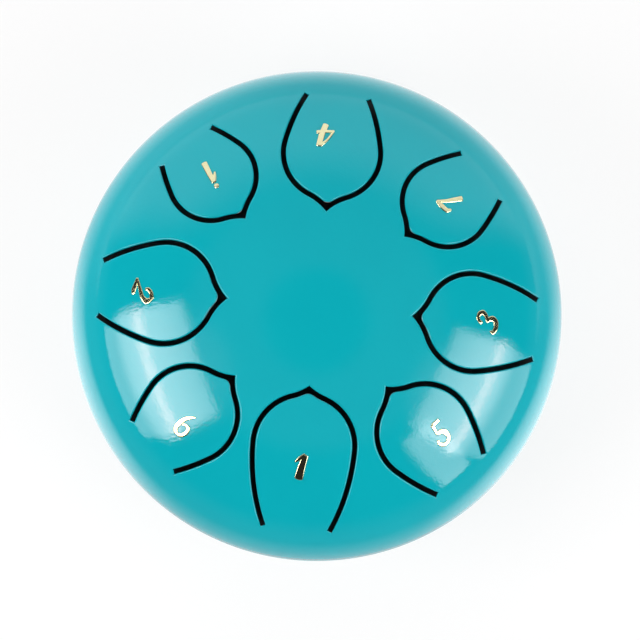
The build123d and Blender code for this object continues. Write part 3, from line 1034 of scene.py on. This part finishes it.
class DRUM_OT_weld_bead(bpy.types.Operator):
    """Lay the weld bead that joins the shells round the rim"""

    bl_idname = "drum.weld_bead"
    bl_label = "Weld bead"

    def execute(self, context):
        settings = context.scene.tongue_drum
        shell = settings.shell
        half = shell.weld_half_height
        edge = shell.rim_radius - shell.knuckle_radius + sqrt(shell.knuckle_radius**2 - half**2)
        rise = shell.rim_radius + shell.weld_crown - edge
        radius = (half**2 + rise**2) / (2 * rise)
        centre = Vector((edge + rise - radius, 0, SEAM_HEIGHT))
        sweep = 2 * atan2(half, edge - centre.x)
        pen = Pen("enamelled_weld_bead", (edge, 0, SEAM_HEIGHT + half))
        pen.arc(centre, SIDEWAYS, sweep, HEM_STEPS)
        pen.line((shell.rim_radius - shell.weld_depth, 0, SEAM_HEIGHT))
        pen.line((edge, 0, SEAM_HEIGHT + half))
        bead = pen.lathe()
        shade(bead, STEEL_EDGE_ANGLE)
        coat(bead, gloss_enamel(settings.finish))
        hand_over(bead, "drum_shell", "turquoise_enamel", "seam_weld")
        return {"FINISHED"}


def foot_turns():
    """Directions of the feet, evenly round the drum from the front."""
    return [-pi / 2 + 2 * pi * i / len(FEET) for i in range(len(FEET))]


class DRUM_OT_feet(bpy.types.Operator):
    """Mould one rubber foot to the shell and copy it round the drum"""

    bl_idname = "drum.feet"
    bl_label = "Feet"

    def execute(self, context):
        settings = context.scene.tongue_drum
        shell, foot = settings.shell, settings.foot
        dome = Dome(shell)
        inside_z = 2 * SEAM_HEIGHT - dome.crown_centre.z - sqrt(
            (dome.crown - shell.wall) ** 2 - foot.circle_radius**2
        )
        pad = self.pad(foot, inside_z)
        shank = self.shank(foot, inside_z)
        for piece in (pad, shank):
            piece.location.x = foot.circle_radius
            settle(piece)
        outside = dome.core("dish_outside", foot.clearance)
        mirrored_below(outside)
        combine(pad, "DIFFERENCE", outside)
        combine(pad, "UNION", shank)
        shade(pad, SMALL_EDGE_ANGLE)
        coat(pad, moulded_rubber(settings.finish))
        for name, turn in zip(FEET, foot_turns()):
            piece = copy_of(pad, f"rubber_{name}")
            turned(piece, turn)
            hand_over(piece, "drum_shell", "black_rubber", name)
        discard(pad)
        return {"FINISHED"}

    def pad(self, foot, top):
        """Pad under the shell, taller than it needs to be."""
        lean = atan2(foot.flare, top)
        round_centre = Vector((foot.radius - foot.edge_round, 0, foot.edge_round))
        pen = Pen("foot_pad", (0, 0, foot.dimple_depth))
        pen.line((foot.dimple_radius - foot.dimple_depth, 0, foot.dimple_depth))
        pen.line((foot.dimple_radius, 0, 0))
        pen.line((round_centre.x, 0, 0))
        pen.arc(round_centre, SIDEWAYS, lean - pi / 2, PAD_EDGE_STEPS)
        pen.line((foot.radius + foot.flare, 0, top))
        pen.line((0, 0, top))
        return pen.lathe(PAD_STEPS)

    def shank(self, foot, inside_z):
        """Shank through the hole, with the barb that holds it inside."""
        radius = foot.hole_radius - foot.clearance
        pen = Pen("foot_shank", (0, 0, foot.edge_round))
        pen.line((radius, 0, foot.edge_round))
        pen.line((radius, 0, inside_z + foot.edge_round))
        pen.line((foot.barb_radius, 0, inside_z + foot.edge_round))
        pen.line((foot.barb_tip_radius, 0, inside_z + foot.barb_height))
        pen.line((0, 0, inside_z + foot.barb_height))
        return pen.lathe(SHANK_STEPS)


class DRUM_OT_numerals(bpy.types.Operator):
    """Press the foil numerals and the octave dot, with a rounded edge on each"""

    bl_idname = "drum.numerals"
    bl_label = "Numerals"

    def execute(self, context):
        settings = context.scene.tongue_drum
        dome = Dome(settings.shell)
        foil = mirror_foil(settings.finish)
        for name, strokes in STROKE_SHARES.items():
            plan = TonguePlan(name, settings)
            ribbons = [self.ribbon(points, plan, settings.numeral) for points in strokes]
            for ribbon in ribbons[1:]:
                combine(ribbons[0], "UNION", ribbon)
            self.stick(ribbons[0], f"numeral_{name}", plan, dome, foil)
        plan = TonguePlan("high_1", settings)
        self.stick(self.dot(plan, settings.numeral), "octave_dot", plan, dome, foil)
        return {"FINISHED"}

    def ribbon(self, points, plan, numeral):
        """One brush stroke with rounded edges, flat, at its place in plan."""
        size = numeral.height
        middles = [Vector((x, y)) * size for x, y, _ in points]
        halves = [half * size for _, _, half in points]
        runs = [
            (b - a).normalized()
            for a, b in zip(middles[:1] + middles[:-1], middles[1:] + middles[-1:])
        ]

        def outline(inset_share):
            insets = [
                inset_share * min(numeral.edge_width, EDGE_LIMIT_SHARE * half) for half in halves
            ]
            narrow = [half - inset for half, inset in zip(halves, insets)]
            spots = [
                middles[0] + runs[0] * insets[0], *middles[1:-1], middles[-1] - runs[-1] * insets[-1],
            ]
            sides = [Vector((-run.y, run.x)) * half for run, half in zip(runs, narrow)]
            left = smooth_curve([spot + side for spot, side in zip(spots, sides)])
            right = smooth_curve([spot - side for spot, side in zip(spots, sides)])
            last = self.end(spots[-1], sides[-1], runs[-1] * narrow[-1])
            first = self.end(spots[0], -sides[0], -runs[0] * narrow[0])
            return [*left, *last, *reversed(right), *first]

        place = numeral_place(plan)
        return loft([
            self.closed_loop(outline(inset_share), place, height)
            for inset_share, height in self.levels(numeral)
        ])

    def levels(self, numeral):
        """The foil's underside, its rim and the round of its edge up to the flat top: how far in, as a
        share of the round's width, and how high."""
        top = numeral.glue + numeral.foil
        turns = [pi / 2 * i / EDGE_STEPS for i in range(EDGE_STEPS + 1)]
        edge = [(1 - cos(turn), top - numeral.edge_drop * (1 - sin(turn))) for turn in turns]
        return [(0, numeral.glue), *edge]

    def end(self, middle, side, bow):
        """Points round the bowed end of a stroke."""
        bow = bow * STROKE_END_SHARE
        turns = [pi * i / STROKE_END_STEPS for i in range(1, STROKE_END_STEPS)]
        return [middle + side * cos(turn) + bow * sin(turn) for turn in turns]

    def closed_loop(self, points, place, height):
        """A closed loop of edges through points of a numeral's own drawing."""
        spots = [place @ Vector((p.x, p.y, height)) for p in points]
        pen = Pen("foil_outline", spots[0])
        for spot in [*spots[1:], spots[0]]:
            pen.line(spot)
        return pen.close()

    def dot(self, plan, numeral):
        """The octave dot with its rounded edge, flat, at its place in plan."""
        middle = Vector(OCTAVE_DOT_SHARES) * numeral.height
        loops = []
        for inset_share, height in self.levels(numeral):
            rim = Vector((numeral.dot_radius - numeral.edge_width * inset_share, 0))
            turns = [2 * pi * i / DOT_STEPS for i in range(DOT_STEPS)]
            points = [middle + Matrix.Rotation(turn, 2) @ rim for turn in turns]
            loops.append(self.closed_loop(points, numeral_place(plan), height))
        return loft(loops)

    def stick(self, piece, name, plan, dome, foil):
        """Merges the flat top, bends the foil to the dome and hands it over."""
        edit(label(piece, f"foil_{name}"))
        bpy.ops.mesh.remove_doubles(threshold=MERGE_DISTANCE)
        bpy.ops.mesh.dissolve_limited(angle_limit=FLAT_ANGLE)
        bpy.ops.mesh.normals_make_consistent(inside=False)
        bpy.ops.object.mode_set(mode="OBJECT")
        for point in piece.data.vertices:
            point.co.z += dome.height(point.co)
        shade(piece, SMALL_EDGE_ANGLE)
        finish_with(piece, "WEIGHTED_NORMAL", keep_sharp=True)
        coat(piece, foil)
        hand_over(piece, f"tongue_{plan.name}", "gold_foil", name)


class DRUM_OT_stage(bpy.types.Operator):
    """Lay the pale floor, hang the soft lights and set the camera"""

    bl_idname = "drum.stage"
    bl_label = "Stage"

    def execute(self, context):
        stage = context.scene.tongue_drum.stage
        self.floor()
        for name, (*place, tube, share) in SOFTBOXES.items():
            lamp = self.lamp(name, SOFTBOX_DISTANCE, *place)
            self.tube_glow(lamp.data, tube, share, stage)
        fill = self.lamp("back_fill", BACK_FILL_DISTANCE, *BACK_FILL)
        fill.data.energy *= stage.fill
        fill.visible_glossy = False
        self.studio(context, stage)
        self.camera(context, stage)
        context.scene.view_settings.view_transform = "Standard"
        return {"FINISHED"}

    def studio(self, context, stage):
        """Dim studio: a glow low down all round, a pale back wall, and a ceiling with an opening for the
        camera, lit just over each softbox."""
        world = context.scene.world or bpy.data.worlds.new("dim_studio")
        context.scene.world = world
        world.use_nodes = True
        tree = world.node_tree
        tree.nodes.clear()
        gaze = node(tree, "ShaderNodeTexCoord").outputs["Generated"]
        height = node(tree, "ShaderNodeSeparateXYZ", {"Vector": gaze}).outputs["Z"]
        by_height = node(tree, "ShaderNodeValToRGB", {"Fac": height})
        stops = by_height.color_ramp.elements
        for place, setting in STUDIO_LEVELS:
            stops.new(place).color = opaque([getattr(stage, setting)] * 3)
        stops.remove(stops[0])
        stops.remove(stops[-1])

        def glow(azimuth, elevation, first, full, level):
            """Radiance that grows towards a direction."""
            middle = direction(radians(azimuth), radians(elevation))
            near = node(tree, "ShaderNodeVectorMath", {0: gaze, 1: middle}, operation="DOT_PRODUCT")
            return node(
                tree, "ShaderNodeMapRange", zip(RANGE, (near.outputs["Value"], first, full, 0.0, level)),
                interpolation_type="SMOOTHSTEP",
            ).outputs["Result"]

        under_ceiling = node(
            tree, "ShaderNodeMapRange", zip(RANGE, (height, *WALL_TOP)), interpolation_type="SMOOTHSTEP"
        )
        level = node(tree, "ShaderNodeMath", {
            0: glow(*BACK_WALL, stage.back_wall), 1: under_ceiling.outputs["Result"],
            2: by_height.outputs["Color"],
        }, operation="MULTIPLY_ADD").outputs[0]
        for *halo, share in HALOS:
            level = node(tree, "ShaderNodeMath", {0: level, 1: glow(*halo, share * stage.halo)}).outputs[0]
        air = node(tree, "ShaderNodeBackground", {"Color": WHITE, "Strength": level})
        node(tree, "ShaderNodeOutputWorld", {"Surface": air.outputs["Background"]})

    def floor(self):
        """Paper floor that faces up, wide enough for every view."""
        bpy.ops.object.select_all(action="DESELECT")
        bpy.ops.mesh.primitive_circle_add(
            vertices=FLOOR_STEPS, radius=FLOOR_RADIUS, fill_type="NGON", location=(0, 0, -FLOOR_GAP)
        )
        floor = label(bpy.context.object, "paper_floor")
        settle(floor)
        coat(floor, self.paper())

    def paper(self):
        """Matt white paper under a pool of light. It shows as white round the drum and pale grey far from
        it, keeps a faint shadow and is dim under the drum. Gloss shows the pool, brighter in front of
        each softbox. From below it is clear, so that the drum's underside shows. The real fibre is too
        fine to show, so it is drawn coarser."""
        material, tree, place = fresh_material("matt_white_paper")
        light = node(tree, "ShaderNodeLightPath").outputs
        reach = node(tree, "ShaderNodeVectorMath", {0: place}, operation="LENGTH").outputs["Value"]
        white, clear_of_drum = [
            node(
                tree, "ShaderNodeMapRange", zip(RANGE, (reach, *row)), interpolation_type="SMOOTHSTEP"
            ).outputs["Result"]
            for row in (PAPER_WHITE, PAPER_CLEAR)
        ]
        bounce = node(tree, "ShaderNodeMath", {
            0: light["Is Diffuse Ray"], 1: PAPER_BOUNCE,
        }, operation="MULTIPLY")
        share = light["Is Camera Ray"]
        for operation, other in (
            ("MAXIMUM", light["Is Transmission Ray"]), ("MULTIPLY", white),
            ("MAXIMUM", bounce.outputs[0]), ("MULTIPLY", clear_of_drum),
            ("MAXIMUM", light["Is Glossy Ray"]),
        ):
            share = node(tree, "ShaderNodeMath", {0: share, 1: other}, operation=operation).outputs[0]
        depth = node(tree, "ShaderNodeSeparateXYZ", {"Vector": place}).outputs["Y"]
        near, far = [
            node(tree, "ShaderNodeMapRange", zip(RANGE, (depth, *row))).outputs["Result"]
            for row in (POOL_NEAR, POOL_FAR)
        ]
        pool = node(
            tree, "ShaderNodeMapRange", zip(RANGE, (reach, *POOL_REACH, near, far)),
            interpolation_type="SMOOTHSTEP",
        ).outputs["Result"]
        for azimuth in SPILL_AZIMUTHS:
            spot = direction(radians(azimuth), 0) * SPILL_DISTANCE
            gap = node(tree, "ShaderNodeVectorMath", {0: place, 1: spot}, operation="DISTANCE")
            spill = node(
                tree, "ShaderNodeMapRange", zip(RANGE, (gap.outputs["Value"], *SPILL)),
                interpolation_type="SMOOTHSTEP",
            )
            pool = node(tree, "ShaderNodeMath", {0: pool, 1: spill.outputs["Result"]}).outputs[0]
        lit = node(tree, "ShaderNodeMath", {
            0: light["Is Diffuse Ray"], 1: PAPER_LIFT, 2: 1.0,
        }, operation="MULTIPLY_ADD")
        strength = node(tree, "ShaderNodeMix", {
            "Factor": light["Is Glossy Ray"], "A": lit.outputs[0], "B": pool,
        })
        fibre = node(tree, "ShaderNodeTexNoise", {
            "Vector": place, "Scale": per_metre(FIBRE_SIZE), "Detail": 3.0,
        })
        tone = node(tree, "ShaderNodeMapRange", zip(RANGE, (fibre.outputs["Fac"], *PAPER_TONE)))
        matt = node(tree, "ShaderNodeBsdfDiffuse", {"Color": tone.outputs["Result"]})
        glow = node(tree, "ShaderNodeEmission", {"Color": WHITE, "Strength": strength.outputs["Result"]})
        top = node(tree, "ShaderNodeMixShader", {
            0: share, 1: matt.outputs["BSDF"], 2: glow.outputs["Emission"],
        })
        under = node(tree, "ShaderNodeNewGeometry").outputs["Backfacing"]
        clear = node(tree, "ShaderNodeBsdfTransparent")
        sheet = node(tree, "ShaderNodeMixShader", {
            0: under, 1: top.outputs["Shader"], 2: clear.outputs["BSDF"],
        })
        node(tree, "ShaderNodeOutputMaterial", {"Surface": sheet.outputs["Shader"]})
        return material

    def lamp(self, name, distance, azimuth, elevation, width, height):
        """A flat soft light of unit radiance that faces the drum."""
        out = direction(radians(azimuth), radians(elevation))
        light = bpy.data.lights.new(name, "AREA")
        light.shape = "RECTANGLE"
        light.size = width
        light.size_y = height
        light.energy = pi * width * height
        lamp = bpy.data.objects.new(name, light)
        lamp.location = MIDDLE + out * distance
        lamp.rotation_euler = out.to_track_quat("Z", "Y").to_euler()
        bpy.context.scene.collection.objects.link(lamp)
        return lamp

    def tube_glow(self, light, tube, share, stage):
        """Gives a softbox its radiance, with the brighter glow of its tube across it."""
        light.use_nodes = True
        tree = light.node_tree
        tree.nodes.clear()
        cloth = node(tree, "ShaderNodeNewGeometry").outputs["Parametric"]
        up = node(tree, "ShaderNodeSeparateXYZ", {"Vector": cloth}).outputs["Y"]
        gap = node(tree, "ShaderNodeMath", {0: up, 1: tube}, operation="SUBTRACT").outputs[0]
        gap = node(tree, "ShaderNodeMath", {0: gap}, operation="ABSOLUTE").outputs[0]
        glows = []
        for colour_of_light, reach, at_tube, beyond in (
            (WHITE, BLOOM_REACH, stage.softbox + stage.bloom, stage.softbox),
            (opaque(stage.tube_tint), TUBE_REACH, stage.tube, 0.0),
        ):
            level = node(tree, "ShaderNodeMapRange", zip(
                RANGE, (gap, 0.0, reach / light.size_y, share * at_tube, share * beyond)
            ), interpolation_type="SMOOTHSTEP")
            glow = node(tree, "ShaderNodeEmission", {
                "Color": colour_of_light, "Strength": level.outputs["Result"],
            })
            glows.append(glow.outputs["Emission"])
        both = node(tree, "ShaderNodeAddShader", dict(enumerate(glows)))
        node(tree, "ShaderNodeOutputLight", {"Surface": both.outputs["Shader"]})

    def camera(self, context, stage):
        """Camera almost straight above the drum."""
        back = direction(stage.azimuth - pi / 2, stage.elevation)
        data = bpy.data.cameras.new("camera")
        data.lens = stage.lens
        data.sensor_width = SENSOR_WIDTH
        data.shift_x, data.shift_y = (pixels / FRAME_PIXELS for pixels in SHIFT_PIXELS)
        camera = bpy.data.objects.new("camera", data)
        camera.location = MIDDLE + back * stage.distance
        camera.rotation_mode = "QUATERNION"
        camera.rotation_quaternion = (-back).to_track_quat("-Z", "Y")
        context.scene.collection.objects.link(camera)
        context.scene.camera = camera


class DRUM_PT_build(bpy.types.Panel):
    """Builds the drum and its stage, piece by piece"""

    bl_idname = "DRUM_PT_build"
    bl_label = "Steel tongue drum"
    bl_space_type = "VIEW_3D"
    bl_region_type = "UI"
    bl_category = "Tongue drum"

    def draw(self, context):
        settings = context.scene.tongue_drum
        for operator in OPERATORS:
            self.layout.operator(operator.bl_idname)
        for group in ("shell", "tongue", "numeral", "foot", "finish", "stage"):
            column = self.layout.column()
            column.label(text=group.capitalize())
            values = getattr(settings, group)
            for name in type(values).__annotations__:
                column.prop(values, name)


GROUPS = (ShellSizes, TongueSizes, NumeralSizes, FootSizes, Finishes, StageSettings, DrumSettings)
OPERATORS = (
    DRUM_OT_upper_shell, DRUM_OT_tongues, DRUM_OT_lower_shell, DRUM_OT_weld_bead, DRUM_OT_feet,
    DRUM_OT_numerals, DRUM_OT_stage,
)


def register():
    for cls in (*GROUPS, *OPERATORS, DRUM_PT_build):
        bpy.utils.register_class(cls)
    bpy.types.Scene.tongue_drum = PointerProperty(type=DrumSettings)


def unregister():
    del bpy.types.Scene.tongue_drum
    for cls in reversed((*GROUPS, *OPERATORS, DRUM_PT_build)):
        bpy.utils.unregister_class(cls)


def main():
    register()
    bpy.ops.drum.upper_shell()
    bpy.ops.drum.tongues()
    bpy.ops.drum.lower_shell()
    bpy.ops.drum.weld_bead()
    bpy.ops.drum.feet()
    bpy.ops.drum.numerals()
    bpy.ops.drum.stage()


if __name__ == "__main__":
    main()
